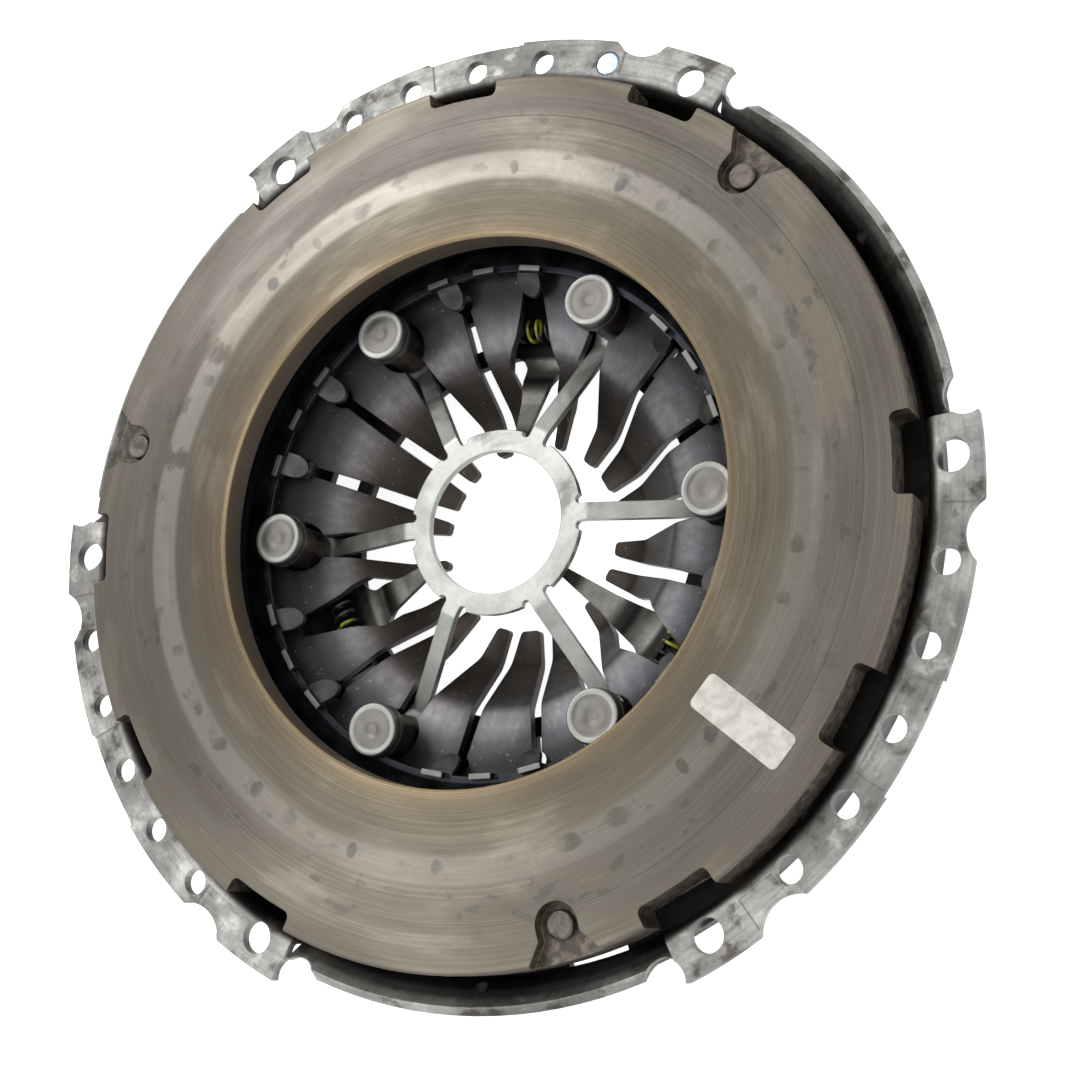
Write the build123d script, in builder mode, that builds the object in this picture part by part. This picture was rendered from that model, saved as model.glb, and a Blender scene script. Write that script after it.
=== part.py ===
from build123d import *

import os
from math import cos, degrees, hypot, radians, sin

# Clutch pressure plate of the self-adjusting diaphragm kind, in millimetres.
# +Z is the rotation axis and points at the flywheel, so the friction face is on top.
# Z = 0 is the flange face that is bolted to the flywheel, X runs through the middle of an arch.

# Rhythm round the axis
thirds = 3
lugs = 6
first_lug = 30.0
first_segment = 60.0

# Clearances
running_gap = 0.1
seat_gap = 0.05
free_gap = 0.6
cut_margin = 1.0

# Pressure plate, a cast iron ring
friction_face_z = 8.0
plate_thickness = 12.0
plate_bore_r = 78.0
face_width = 48.2
face_chamfer = 0.6
bore_chamfer = 0.8
notch_depth = 5.2
notch_half_angle = 5.0
notch_pitch = 30.0
notch_corner_r = 2.0
rib_height = 1.425
rib_width = 5.5
rib_overhang = 0.5
rib_gap_half_angle = 2.2
rib_gaps = 12
back_recess_reach = 7.0
back_recess_depth = 3.6

# Cover housing, a deep-drawn bowl of sheet steel
cover_sheet = 3.0
bend_radius = 4.0
wall_bend_r = 2.5
plate_wall_gap = 1.2
bolt_circle_reach = 6.6
bolt_hole_r = 4.5
lug_reach = 7.8
pad_set_back = 1.0
bridge_set_back = 1.8
neck_depth = 4.4
arch_rim_reach = 7.0
arch_rim_drop = 1.5
arch_flare_reach = 2.3
arch_flare_rise = 3.5
shoulder_drop = 10.5
wall_height = 4.5
well_wall_lean = 3.0
well_rim_gap = 2.0
well_depth = 7.0
step_lean = 4.0
step_ring_gap = 5.0
deck_drop = 9.05
opening_edge = 3.1
lug_half_angle = 4.6
pad_near_angle = 6.5
pad_far_angle = 18.6
neck_recess_angle = 20.3
lug_corner_r = 1.0
dip_angle = 23.4
dip_r = 6.0
dip_depth = 1.5
recess_depth = 0.4
recess_margin_angle = 0.5
balance_hole_r = 3.6
balance_hole_angles = (-18.5, -9.4, 0.0, 9.4, 18.5)
balance_rivet_slot = 0
arch_hole_r = 2.0
arch_hole_rise = 2.6
deck_window_edge = 5.5
deck_window_depth = 10.5
deck_window_angle = 10.0
deck_window_half_angle = 5.5
bolt_pad_rise = 4.7
bolt_pad_r = 9.5
shoulder_window_half_angle = 4.0
shoulder_window_inward = 7.5
shoulder_window_outward = 9.0
wall_window_angle = 30.0
wall_window_width = 26.0
wall_window_height = 11.0
wall_window_rise = 10.5

# Diaphragm spring
diaphragm_sheet = 2.6
cone_rise = 0.35
diaphragm_lever = 25.0
knee_inset = 14.9
fall_inset = 14.5
fall_drop = 13.05
tip_inset = 10.5
tip_drop = 3.1
finger_bend_radius = 9.0
finger_pitch = 20.0
slot_width = 3.0
slot_tip_width = 4.0
keyhole_r = 3.0
keyhole_reach = 17.0
gap_half_width_tip = 3.9
gap_half_width_wide = 4.9
gap_wide_inset = 0.5
gap_half_width_root = 3.4
gap_root_reach = 7.0
tip_corner_r = 1.3
window_angle = 51.0
window_half_width_tip = 3.4
window_half_width_neck = 6.0
window_neck_reach = 5.0
window_half_width_wide = 8.3
window_wide_inset = 4.5
window_half_width_middle = 5.5
window_middle_reach = 4.0
window_half_width_end = 3.0
window_end_reach = 18.0
diaphragm_bolt_gap = 1.4

# Step bolts
bolt_inset = 10.1
bolt_head_r = 7.7
bolt_head_set_back = 0.7
bolt_head_height = 3.4
bolt_head_dimple_r = 4.6
bolt_head_dimple_depth = 0.5
bolt_shank_r = 6.2
bolt_tail_r = 3.5
bolt_tail_head_r = 4.7
bolt_tail_gap = 0.3
bolt_tail_head_height = 2.0
bolt_head_edge_r = 0.9
bolt_tail_edge_r = 1.2

# Travel stop, a pressed spider under the bolts
stop_sheet = 2.2
stop_ring_drop = 5.7
stop_inner_r = 21.0
stop_ring_width = 6.1
stop_spoke_width = 5.0
stop_relief_r = 1.3
stop_foot_inset = 7.9
stop_foot_width = 8.0
stop_eye_r = 6.2

# Sensor spring under the bolt heads
sensor_sheet = 1.6
sensor_flat_inset = 3.0
sensor_lip = 1.8
sensor_cone_width = 7.5
sensor_tab_inset = 0.7
sensor_tab_width = 6.6
sensor_tab_height = 4.1
sensor_tab_spread = 11.8
sensor_ear_margin = 0.2
tongue_spread = 10.5
tongue_width = 7.0
tongue_reach = 6.2
tongue_tip_drop = 4.8

# Adjuster ring, its ramps and its springs
ring_bolt_distance = 6.9
ring_width = 7.2
ring_bead_inset = 1.7
ring_bead_width = 2.4
ring_bead_height = 1.3
ring_body_gap = 1.0
ramp_count = 12
ramp_length = 36.0
ramp_gap = 0.25
wear_travel = 2.0
adjuster_sweep = 10.0
ring_lug_width = 4.2
ring_lug_inward = 3.8
ring_lug_outward = 2.6
ring_lug_step_rise = 2.5
ring_lug_rise = 1.1
spring_circle_inset = 5.5
spring_start_angle = 43.5
spring_end_angle = 64.5
spring_coil_r = 3.1
spring_wire_r = 0.55
spring_turns = 7
spring_axis_rise = 3.5
spring_trough_half_width = 4.6
spring_trough_depth = 1.2
spring_tab_thickness = 1.6
spring_tab_height = 6.0

# Centre arms of the cover, one at each window of the diaphragm
arm_sheet = 1.6
arm_bend_r = 6.0
arm_overlap = 1.5
arm_foot_inset = 4.2
arm_knee_inset = 5.5
arm_knee_rise = 4.3
arm_neck_inset = 7.0
arm_neck_rise = 5.9
arm_tip_inset = 14.5
arm_tip_rise = 10.9
arm_flare_inset = 2.2
arm_root_half_width = 11.0
arm_flare_half_width = 7.2
arm_foot_half_width = 5.9
arm_knee_half_width = 4.6
arm_neck_half_width = 3.2
arm_tip_half_width = 1.4

# Leaf straps between the cover and the plate
strap_leaf = 0.6
strap_leaves = 3
strap_width = 15.0
strap_circle_inset = 9.2
strap_plate_angle = 14.5
strap_cover_angle = 45.5
strap_flat_length = 9.5
rivet_shank_r = 3.0
rivet_head_r = 3.9
rivet_head_height = 2.0
rivet_tail_r = 5.0
rivet_tail_height = 2.0
rivet_head_edge_r = 0.8
rivet_tail_edge_r = 1.2
rivet_top_below_face = 2.1
pocket_round_r = 6.0
pocket_mouth_half_width = 11.5
cover_rivet_head_height = 1.8
rivet_relief_gap = 1.5
rivet_relief_depth = 3.0

# Balance rivet and blank label
balance_rivet_gap = 0.05
balance_rivet_face_z = -0.05
balance_rivet_edge_r = 0.5
balance_rivet_head_r = 5.2
balance_rivet_head_height = 1.4
label_thickness = 0.15
label_reach = 25.0
label_centre_angle = 291.4
label_length = 28.4
label_width = 10.2
label_turn = -0.8
label_corner_r = 1.6

os.makedirs("parts", exist_ok=True)


def polar(radius, angle):
    """Point at a radius and an angle in the XY plane."""
    return (radius * cos(radians(angle)), radius * sin(radians(angle)))


def thirds_of(angle):
    """The three angles that a feature takes round the axis."""
    return [angle + 360.0 / thirds * k for k in range(thirds)]


def sixths_of(angle):
    """The six angles that a feature takes round the axis."""
    return [angle + 360.0 / lugs * k for k in range(lugs)]


def annular_sector(inner, outer, start, end):
    """Flat face between two radii and two angles."""
    with BuildSketch() as sector:
        with BuildLine():
            CenterArc((0, 0), inner, start, end - start)
            CenterArc((0, 0), outer, start, end - start)
            Line(polar(inner, start), polar(outer, start))
            Line(polar(inner, end), polar(outer, end))
        make_face()
    return sector.sketch


def radial_blade(stations, angle):
    """Flat face along a radius, with a half width given at each of its radii."""
    left = [(radius, half_width) for radius, half_width in stations]
    right = [(radius, -half_width) for radius, half_width in reversed(stations)]
    with BuildSketch() as blade:
        with BuildLine():
            Polyline(*left, *right, close=True)
        make_face()
    return blade.sketch.rotate(Axis.Z, angle)


def sheet_profile(points, radius, thickness, side):
    """Section of a bent sheet, for a revolve, from the line of its top surface."""
    with BuildSketch(Plane.XZ) as profile:
        with BuildLine():
            FilletPolyline(*points, radius=radius)
            offset(amount=thickness, side=side)
        make_face()
    return profile.sketch


def diaphragm_top(radius):
    """Height of the top of the diaphragm's outer cone at a radius."""
    return knee_z + cone_rise * (radius - knee_r)


def diaphragm_under(radius):
    """Height of the underside of the diaphragm's outer cone at a radius."""
    return diaphragm_top(radius) - diaphragm_sheet * hypot(1.0, cone_rise)


def turned_stack(centre, discs):
    """Coaxial discs, each given by its radius, its bottom and its top."""
    with BuildPart() as stack:
        for radius, bottom, top in discs:
            with BuildSketch(Plane.XY.offset(bottom)):
                with Locations(centre):
                    Circle(radius)
            extrude(amount=top - bottom)
    return stack.part


def tangent_plane(radius, angle, z):
    """Plane at a point, X along the tangent, Y up and its normal out along the radius."""
    x, y = polar(radius, angle)
    return Plane(
        origin=(x, y, z),
        x_dir=(-sin(radians(angle)), cos(radians(angle)), 0),
        z_dir=(cos(radians(angle)), sin(radians(angle)), 0),
    )


def bent_strip(section, plan, half_width):
    """Strip along X with a bent section, cut to a plan outline."""
    with BuildPart() as strip:
        extrude(section, amount=half_width, both=True)
        with BuildSketch(Plane.XY.offset(well_z)):
            add(plan)
        extrude(amount=-well_z, mode=Mode.INTERSECT)
    return strip.part


def ramp_band(wedge, inner, outer, turn, z):
    """Equal wedges round the axis, trimmed to a ring."""
    with BuildPart() as band:
        for k in range(ramp_count):
            with BuildSketch(tangent_plane(inner - ramp_length / 8, ramp_pitch * k + turn, z)):
                with BuildLine():
                    Polyline(*wedge, close=True)
                make_face()
            extrude(amount=outer - inner + ramp_length / 4)
        with BuildSketch(Plane.XY.offset(well_z)):
            Circle(outer)
            Circle(inner, mode=Mode.SUBTRACT)
        extrude(amount=-well_z, mode=Mode.INTERSECT)
    return band.part


# Radii that follow from the sizes above, all from the bore of the pressure plate
plate_outer_r = plate_bore_r + face_width
notch_floor_r = plate_outer_r - notch_depth
back_recess_r = plate_bore_r + back_recess_reach
strap_circle_r = plate_outer_r - strap_circle_inset
rivet_relief_r = rivet_tail_r + rivet_relief_gap
label_centre_r = plate_bore_r + label_reach
wall_r = plate_outer_r + plate_wall_gap
flange_flat_r = wall_r + bend_radius
bolt_circle_r = wall_r + bolt_circle_reach
lug_outer_r = bolt_circle_r + lug_reach
pad_outer_r = lug_outer_r - pad_set_back
bridge_outer_r = lug_outer_r - bridge_set_back
neck_outer_r = lug_outer_r - neck_depth
arch_rim_r = wall_r + arch_rim_reach
arch_flare_r = wall_r + arch_flare_reach
shoulder_window_inner_r = strap_circle_r - shoulder_window_inward
shoulder_window_outer_r = strap_circle_r + shoulder_window_outward
step_bolt_r = plate_bore_r - bolt_inset
ring_inner_r = step_bolt_r + ring_bolt_distance
ring_outer_r = ring_inner_r + ring_width
ring_mean_r = (ring_inner_r + ring_outer_r) / 2
ring_bead_r = ring_inner_r + ring_bead_inset
diaphragm_outer_r = ring_bead_r + diaphragm_lever
knee_r = step_bolt_r - knee_inset
fall_r = knee_r - fall_inset
tip_r = fall_r - tip_inset
keyhole_centre_r = knee_r + keyhole_reach
gap_wide_r = fall_r - gap_wide_inset
gap_root_r = knee_r + gap_root_reach
window_neck_r = fall_r + window_neck_reach
window_wide_r = knee_r - window_wide_inset
window_middle_r = knee_r + window_middle_reach
window_end_r = knee_r + window_end_reach
diaphragm_bolt_hole_r = bolt_shank_r + diaphragm_bolt_gap
rib_outer_r = diaphragm_outer_r + rib_overhang
rib_inner_r = rib_outer_r - rib_width
well_r = diaphragm_outer_r + well_rim_gap
inner_wall_r = well_r + well_wall_lean
step_r = ring_outer_r + step_ring_gap
well_inner_r = step_r + step_lean
stop_outer_r = stop_inner_r + stop_ring_width
stop_foot_start_r = step_bolt_r - stop_foot_inset
sensor_flat_r = plate_bore_r - sensor_flat_inset
sensor_inner_r = sensor_flat_r - sensor_lip
sensor_outer_r = sensor_flat_r + sensor_cone_width
sensor_tab_r = sensor_inner_r - sensor_tab_inset
sensor_ear_r = bolt_head_r + sensor_ear_margin
tongue_tip_r = sensor_inner_r - tongue_reach
spring_circle_r = step_bolt_r - spring_circle_inset
spring_trough_inner_r = spring_circle_r - spring_trough_half_width
spring_trough_outer_r = spring_circle_r + spring_trough_half_width
ring_lug_tip_r = spring_circle_r - ring_lug_inward
ring_lug_step_r = spring_circle_r + ring_lug_outward
opening_r = spring_trough_inner_r - opening_edge
deck_window_inner_r = opening_r + deck_window_edge
deck_window_outer_r = deck_window_inner_r + deck_window_depth
arm_root_r = opening_r + arm_overlap
arm_foot_r = opening_r - arm_foot_inset
arm_knee_r = arm_foot_r - arm_knee_inset
arm_neck_r = arm_knee_r - arm_neck_inset
arm_tip_r = arm_neck_r - arm_tip_inset

# Heights that follow, all from the friction face
plate_back_z = friction_face_z - plate_thickness
rib_bottom_z = plate_back_z - rib_height
pocket_floor_z = friction_face_z - rivet_top_below_face - rivet_head_height
shoulder_z = plate_back_z - shoulder_drop
wall_top_z = shoulder_z + wall_height
arch_flare_z = wall_top_z + arch_flare_rise
arch_hole_z = wall_top_z + arch_hole_rise
strap_stack = strap_leaf * strap_leaves
strap_cover_top_z = shoulder_z + strap_stack
bolt_head_top_z = plate_back_z - bolt_head_set_back
bolt_head_under_z = bolt_head_top_z - bolt_head_height
stop_ring_z = bolt_head_under_z - stop_ring_drop
knee_z = rib_bottom_z - seat_gap - cone_rise * (diaphragm_outer_r - knee_r)
fall_z = knee_z - fall_drop
tip_z = fall_z - tip_drop
ring_top_z = diaphragm_under(ring_bead_r - ring_bead_width / 4) - running_gap
deck_z = knee_z - deck_drop
well_z = deck_z - well_depth
wall_window_z = well_z + wall_window_rise
bolt_pad_z = deck_z + bolt_pad_rise
stop_foot_z = bolt_pad_z + stop_sheet
spring_axis_z = deck_z + spring_axis_rise
spring_tab_top_z = deck_z + spring_tab_height
ring_lug_step_z = deck_z + ring_lug_step_rise
ring_lug_bottom_z = deck_z + ring_lug_rise
arm_knee_z = deck_z + arm_knee_rise
arm_neck_z = deck_z + arm_neck_rise
arm_tip_z = deck_z + arm_tip_rise

# Slopes, angles and curves that follow
ramp_slope = wear_travel / (ring_mean_r * radians(adjuster_sweep))
ramp_pitch = 360.0 / ramp_count
trough_end_angle = spring_end_angle + degrees((ring_lug_width + free_gap) / spring_circle_r)
tab_start_angle = spring_start_angle - degrees(spring_tab_thickness / spring_circle_r)
segment_span = 2 * (first_lug + lug_half_angle)
arch_span = 360.0 / thirds - segment_span
neck_angle = (pad_far_angle + first_lug - lug_half_angle) / 2
neck_half_chord = lug_outer_r * radians(first_lug - lug_half_angle - pad_far_angle) / 2
neck_curve_r = (neck_half_chord ** 2 + neck_depth ** 2) / (2 * neck_depth)


# Cover housing
bowl_line = (
    (wall_r, wall_top_z),
    (wall_r, shoulder_z),
    (inner_wall_r, shoulder_z),
    (well_r, well_z),
    (well_inner_r, well_z),
    (step_r, deck_z),
    (opening_r, deck_z),
)
flange_line = ((neck_outer_r, 0), (wall_r, 0), (wall_r, wall_top_z))
arch_line = ((arch_rim_r, -arch_rim_drop), (arch_flare_r, arch_flare_z), (wall_r, wall_top_z))
arm_line = (
    (arm_tip_r, arm_tip_z),
    (arm_neck_r, arm_neck_z),
    (arm_knee_r, arm_knee_z),
    (arm_foot_r, deck_z),
    (arm_root_r, deck_z),
)
centre_arm = bent_strip(
    sheet_profile(arm_line, arm_bend_r, arm_sheet, Side.RIGHT),
    radial_blade((
        (arm_tip_r, arm_tip_half_width),
        (arm_neck_r, arm_neck_half_width),
        (arm_knee_r, arm_knee_half_width),
        (arm_foot_r, arm_foot_half_width),
        (opening_r - arm_flare_inset, arm_flare_half_width),
        (opening_r, arm_root_half_width),
        (arm_root_r, arm_root_half_width),
    ), 0),
    arm_root_half_width + cut_margin,
)
cover_ramps = ramp_band(
    (
        (-ramp_length / 2, -cut_margin),
        (-ramp_length / 2, 0),
        (ramp_length / 2, ramp_length * ramp_slope),
        (ramp_length / 2, -cut_margin),
    ),
    ring_inner_r + running_gap,
    ring_outer_r - running_gap,
    0.0,
    deck_z,
)
with BuildPart() as cover_housing:
    bowl_bends = (wall_bend_r, bend_radius, bend_radius, bend_radius, bend_radius)
    revolve(sheet_profile(bowl_line, bowl_bends, cover_sheet, Side.LEFT), axis=Axis.Z)
    for middle in thirds_of(first_segment):
        flange_section = sheet_profile(flange_line, bend_radius, cover_sheet, Side.LEFT)
        flange_start = flange_section.rotate(Axis.Z, middle - segment_span / 2)
        revolve(flange_start, axis=Axis.Z, revolution_arc=segment_span)
    for middle in thirds_of(0.0):
        arch_section = sheet_profile(arch_line, bend_radius, cover_sheet, Side.LEFT)
        arch_start = arch_section.rotate(Axis.Z, middle - arch_span / 2)
        revolve(arch_start, axis=Axis.Z, revolution_arc=arch_span)
    # Lugs, pads and necks of the flange segments
    with BuildSketch(Plane.XY.offset(-cover_sheet)) as flange:
        for middle in thirds_of(first_segment):
            add(annular_sector(flange_flat_r, bridge_outer_r, middle - pad_near_angle, middle + pad_near_angle))
            for side in (-1, 1):
                near = middle + side * pad_near_angle
                neck = middle + side * neck_angle
                end = middle + side * segment_span / 2
                add(annular_sector(flange_flat_r, pad_outer_r, min(near, neck), max(near, neck)))
                add(annular_sector(flange_flat_r, lug_outer_r, min(neck, end), max(neck, end)))
        for middle in thirds_of(first_segment):
            for side in (-1, 1):
                with Locations(polar(neck_outer_r + neck_curve_r, middle + side * neck_angle)):
                    Circle(neck_curve_r, mode=Mode.SUBTRACT)
        lug_corners = [
            corner for corner in flange.vertices()
            if hypot(corner.X, corner.Y) > (pad_outer_r + lug_outer_r) / 2
        ]
        fillet(lug_corners, radius=lug_corner_r)
    extrude(amount=cover_sheet)
    # Dips where each arch runs into a lug
    with BuildSketch(Plane.XY.offset(-cover_sheet - bend_radius)) as dips:
        for middle in thirds_of(0.0):
            for side in (-1, 1):
                with Locations(polar(arch_rim_r + dip_r - dip_depth, middle + side * dip_angle)):
                    Circle(dip_r)
    extrude(amount=cover_sheet + 2 * bend_radius, mode=Mode.SUBTRACT)
    # Shallow recess of the necks and of the bridge in each segment
    with BuildSketch(Plane.XY.offset(-recess_depth)) as recesses:
        for middle in thirds_of(first_segment):
            add(annular_sector(
                flange_flat_r,
                lug_outer_r,
                middle - pad_near_angle + recess_margin_angle,
                middle + pad_near_angle - recess_margin_angle,
            ))
            for side in (-1, 1):
                near = middle + side * neck_recess_angle
                far = middle + side * (first_lug - lug_half_angle - recess_margin_angle)
                add(annular_sector(flange_flat_r, lug_outer_r, min(near, far), max(near, far)))
    extrude(amount=recess_depth, mode=Mode.SUBTRACT)
    # Bolt holes and balance holes
    with BuildSketch(Plane.XY.offset(-cover_sheet - bend_radius)) as flange_holes:
        for angle in sixths_of(first_lug):
            with Locations(polar(bolt_circle_r, angle)):
                Circle(bolt_hole_r)
        for middle in thirds_of(first_segment):
            for angle in balance_hole_angles:
                with Locations(polar(bolt_circle_r, middle + angle)):
                    Circle(balance_hole_r)
    extrude(amount=cover_sheet + 2 * bend_radius, mode=Mode.SUBTRACT)
    # Small hole in the wall at the middle of each arch
    for angle in thirds_of(0.0):
        with BuildSketch(tangent_plane(inner_wall_r, angle, arch_hole_z)):
            Circle(arch_hole_r)
        extrude(amount=lug_outer_r - inner_wall_r, mode=Mode.SUBTRACT)
    # Pads that carry the step bolts
    with BuildSketch(Plane.XY.offset(deck_z)):
        for angle in sixths_of(first_lug):
            with Locations(polar(step_bolt_r, angle)):
                Circle(bolt_pad_r)
        Circle(ring_inner_r - free_gap, mode=Mode.INTERSECT)
    extrude(amount=bolt_pad_rise)
    with BuildSketch(Plane.XY.offset(deck_z - cover_sheet)):
        for angle in sixths_of(first_lug):
            with Locations(polar(step_bolt_r, angle)):
                Circle(bolt_tail_head_r + bolt_tail_gap)
    extrude(amount=bolt_pad_rise, mode=Mode.SUBTRACT)
    # Ramps that lift the adjuster ring
    add(cover_ramps)
    # Windows in the deck, and holes for the bolts and the strap rivets
    with BuildSketch(Plane.XY.offset(deck_z - 2 * cover_sheet)) as deck_cuts:
        for angle in sixths_of(deck_window_angle):
            add(annular_sector(
                deck_window_inner_r,
                deck_window_outer_r,
                angle - deck_window_half_angle,
                angle + deck_window_half_angle,
            ))
        for angle in sixths_of(first_lug):
            with Locations(polar(step_bolt_r, angle)):
                Circle(bolt_tail_r)
    extrude(amount=4 * cover_sheet, mode=Mode.SUBTRACT)
    # Troughs that the adjuster springs lie in
    with BuildSketch(Plane.XY.offset(deck_z)) as spring_troughs:
        for angle in thirds_of(0.0):
            add(annular_sector(
                spring_trough_inner_r,
                spring_trough_outer_r,
                angle + spring_start_angle,
                angle + trough_end_angle,
            ))
    extrude(amount=-spring_trough_depth, mode=Mode.SUBTRACT)
    with BuildSketch(Plane.XY.offset(shoulder_z - 2 * cover_sheet)) as shoulder_cuts:
        for angle in thirds_of(strap_cover_angle):
            with Locations(polar(strap_circle_r, angle)):
                Circle(rivet_shank_r)
        for angle in thirds_of(strap_plate_angle):
            add(annular_sector(
                shoulder_window_inner_r,
                shoulder_window_outer_r,
                angle - shoulder_window_half_angle,
                angle + shoulder_window_half_angle,
            ))
    extrude(amount=3 * cover_sheet, mode=Mode.SUBTRACT)
    # Tabs that the adjuster springs push off
    with BuildSketch(Plane.XY.offset(deck_z - cover_sheet / 2)) as spring_tabs:
        for angle in thirds_of(0.0):
            add(annular_sector(
                spring_trough_inner_r,
                spring_trough_outer_r,
                angle + tab_start_angle,
                angle + spring_start_angle,
            ))
    extrude(amount=spring_tab_top_z - deck_z + cover_sheet / 2)
    # Cooling windows in the inner wall
    for angle in sixths_of(wall_window_angle):
        with BuildSketch(tangent_plane(well_inner_r, angle, wall_window_z)):
            RectangleRounded(wall_window_width, wall_window_height, wall_window_height / 4)
        extrude(amount=wall_r - well_inner_r, mode=Mode.SUBTRACT)
    # Centre arms, pressed down from the rim of the opening
    for angle in thirds_of(window_angle):
        add(centre_arm.rotate(Axis.Z, angle))
cover_housing.part.label = "cover_housing"
export_step(cover_housing.part, "parts/cover_housing.step")


# Pressure plate
with BuildPart() as pressure_plate:
    with BuildSketch(Plane.XY.offset(plate_back_z)):
        Circle(plate_outer_r)
        Circle(plate_bore_r, mode=Mode.SUBTRACT)
    extrude(amount=friction_face_z - plate_back_z)
    top_circles = pressure_plate.faces().sort_by(Axis.Z)[-1].edges()
    chamfer(top_circles.sort_by(SortBy.RADIUS)[-1], length=face_chamfer)
    top_circles = pressure_plate.faces().sort_by(Axis.Z)[-1].edges()
    chamfer(top_circles.sort_by(SortBy.RADIUS)[0], length=bore_chamfer)
    # Raised rib that the rim of the diaphragm presses on
    with BuildSketch(Plane.XY.offset(rib_bottom_z)):
        Circle(rib_outer_r)
        Circle(rib_inner_r, mode=Mode.SUBTRACT)
        for k in range(rib_gaps):
            middle = 360.0 / rib_gaps * (k + 0.5)
            rib_gap = annular_sector(
                rib_inner_r - cut_margin,
                rib_outer_r + cut_margin,
                middle - rib_gap_half_angle,
                middle + rib_gap_half_angle,
            )
            add(rib_gap, mode=Mode.SUBTRACT)
    extrude(amount=plate_back_z - rib_bottom_z)
    # Step in the back round the bore, which clears the sensor spring
    with BuildSketch(Plane.XY.offset(plate_back_z)):
        Circle(back_recess_r)
    extrude(amount=back_recess_depth, mode=Mode.SUBTRACT)
    # Notches in the rim, one at every pitch except at the middle of each arch
    with BuildSketch(Plane.XY.offset(plate_back_z)) as notches:
        for k in range(round(360.0 / notch_pitch)):
            middle = notch_pitch * k
            if middle % (360.0 / thirds) == 0:
                continue
            add(annular_sector(
                notch_floor_r,
                plate_outer_r + cut_margin,
                middle - notch_half_angle,
                middle + notch_half_angle,
            ))
    extrude(amount=friction_face_z - plate_back_z, mode=Mode.SUBTRACT)
    notch_edges = [
        edge for edge in pressure_plate.edges().filter_by(Axis.Z)
        if abs(hypot(edge.center().X, edge.center().Y) - notch_floor_r) < cut_margin / 2
    ]
    fillet(notch_edges, radius=notch_corner_r)
    # Pockets for the strap rivets, opening into the rim
    with BuildSketch(Plane.XY.offset(pocket_floor_z)) as pockets:
        for angle in thirds_of(strap_plate_angle):
            with Locations(polar(strap_circle_r, angle)):
                Circle(pocket_round_r)
            add(radial_blade((
                (strap_circle_r, pocket_round_r),
                (strap_circle_r + pocket_round_r / 2, pocket_round_r),
                (plate_outer_r + cut_margin, pocket_mouth_half_width),
            ), angle))
    extrude(amount=friction_face_z - pocket_floor_z, mode=Mode.SUBTRACT)
    with BuildSketch(Plane.XY.offset(plate_back_z)):
        for angle in thirds_of(strap_plate_angle):
            with Locations(polar(strap_circle_r, angle)):
                Circle(rivet_shank_r)
    extrude(amount=pocket_floor_z - plate_back_z, mode=Mode.SUBTRACT)
    # Relief in the back over the rivets of the cover
    with BuildSketch(Plane.XY.offset(plate_back_z)):
        for angle in thirds_of(strap_cover_angle):
            with Locations(polar(strap_circle_r, angle)):
                Circle(rivet_relief_r)
    extrude(amount=rivet_relief_depth, mode=Mode.SUBTRACT)
pressure_plate.part.label = "pressure_plate"
export_step(pressure_plate.part, "parts/pressure_plate.step")


# Diaphragm spring
finger_fall = (fall_z - tip_z) / (fall_r - tip_r)
diaphragm_line = (
    (diaphragm_outer_r, diaphragm_top(diaphragm_outer_r)),
    (knee_r, knee_z),
    (fall_r, fall_z),
    (tip_r - diaphragm_sheet, tip_z - finger_fall * diaphragm_sheet),
)
with BuildSketch() as finger_gaps:
    Circle(tip_r)
    for slot_angle in [angle + side * finger_pitch / 2 for angle in sixths_of(0.0) for side in (-1, 1)]:
        window_offsets = [abs((slot_angle - angle + 180) % 360 - 180) for angle in thirds_of(window_angle)]
        if min(window_offsets) > finger_pitch / 4:
            add(radial_blade((
                (tip_r - cut_margin, slot_tip_width / 2),
                (keyhole_centre_r, slot_width / 2),
            ), slot_angle))
            with Locations(polar(keyhole_centre_r, slot_angle)):
                Circle(keyhole_r)
    for angle in sixths_of(first_lug):
        add(radial_blade((
            (tip_r - cut_margin, gap_half_width_tip),
            (gap_wide_r, gap_half_width_wide),
            (gap_root_r, gap_half_width_root),
            (step_bolt_r, gap_half_width_root),
        ), angle))
        with Locations(polar(step_bolt_r, angle)):
            Circle(diaphragm_bolt_hole_r)
    for angle in thirds_of(window_angle):
        add(radial_blade((
            (tip_r - cut_margin, window_half_width_tip),
            (window_neck_r, window_half_width_neck),
            (window_wide_r, window_half_width_wide),
            (window_middle_r, window_half_width_middle),
            (window_end_r, window_half_width_end),
        ), angle))
    tip_corners = [
        corner for corner in finger_gaps.vertices()
        if abs(hypot(corner.X, corner.Y) - tip_r) < seat_gap and abs(corner.Y) > tip_corner_r / 2
    ]
    fillet(tip_corners, radius=tip_corner_r)
with BuildPart() as diaphragm_spring:
    revolve(sheet_profile(diaphragm_line, finger_bend_radius, diaphragm_sheet, Side.LEFT), axis=Axis.Z)
    with BuildSketch(Plane.XY.offset(2 * tip_z)):
        add(finger_gaps.sketch)
    extrude(amount=-2 * tip_z, mode=Mode.SUBTRACT)
diaphragm_spring.part.label = "diaphragm_spring"
export_step(diaphragm_spring.part, "parts/diaphragm_spring.step")


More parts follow.
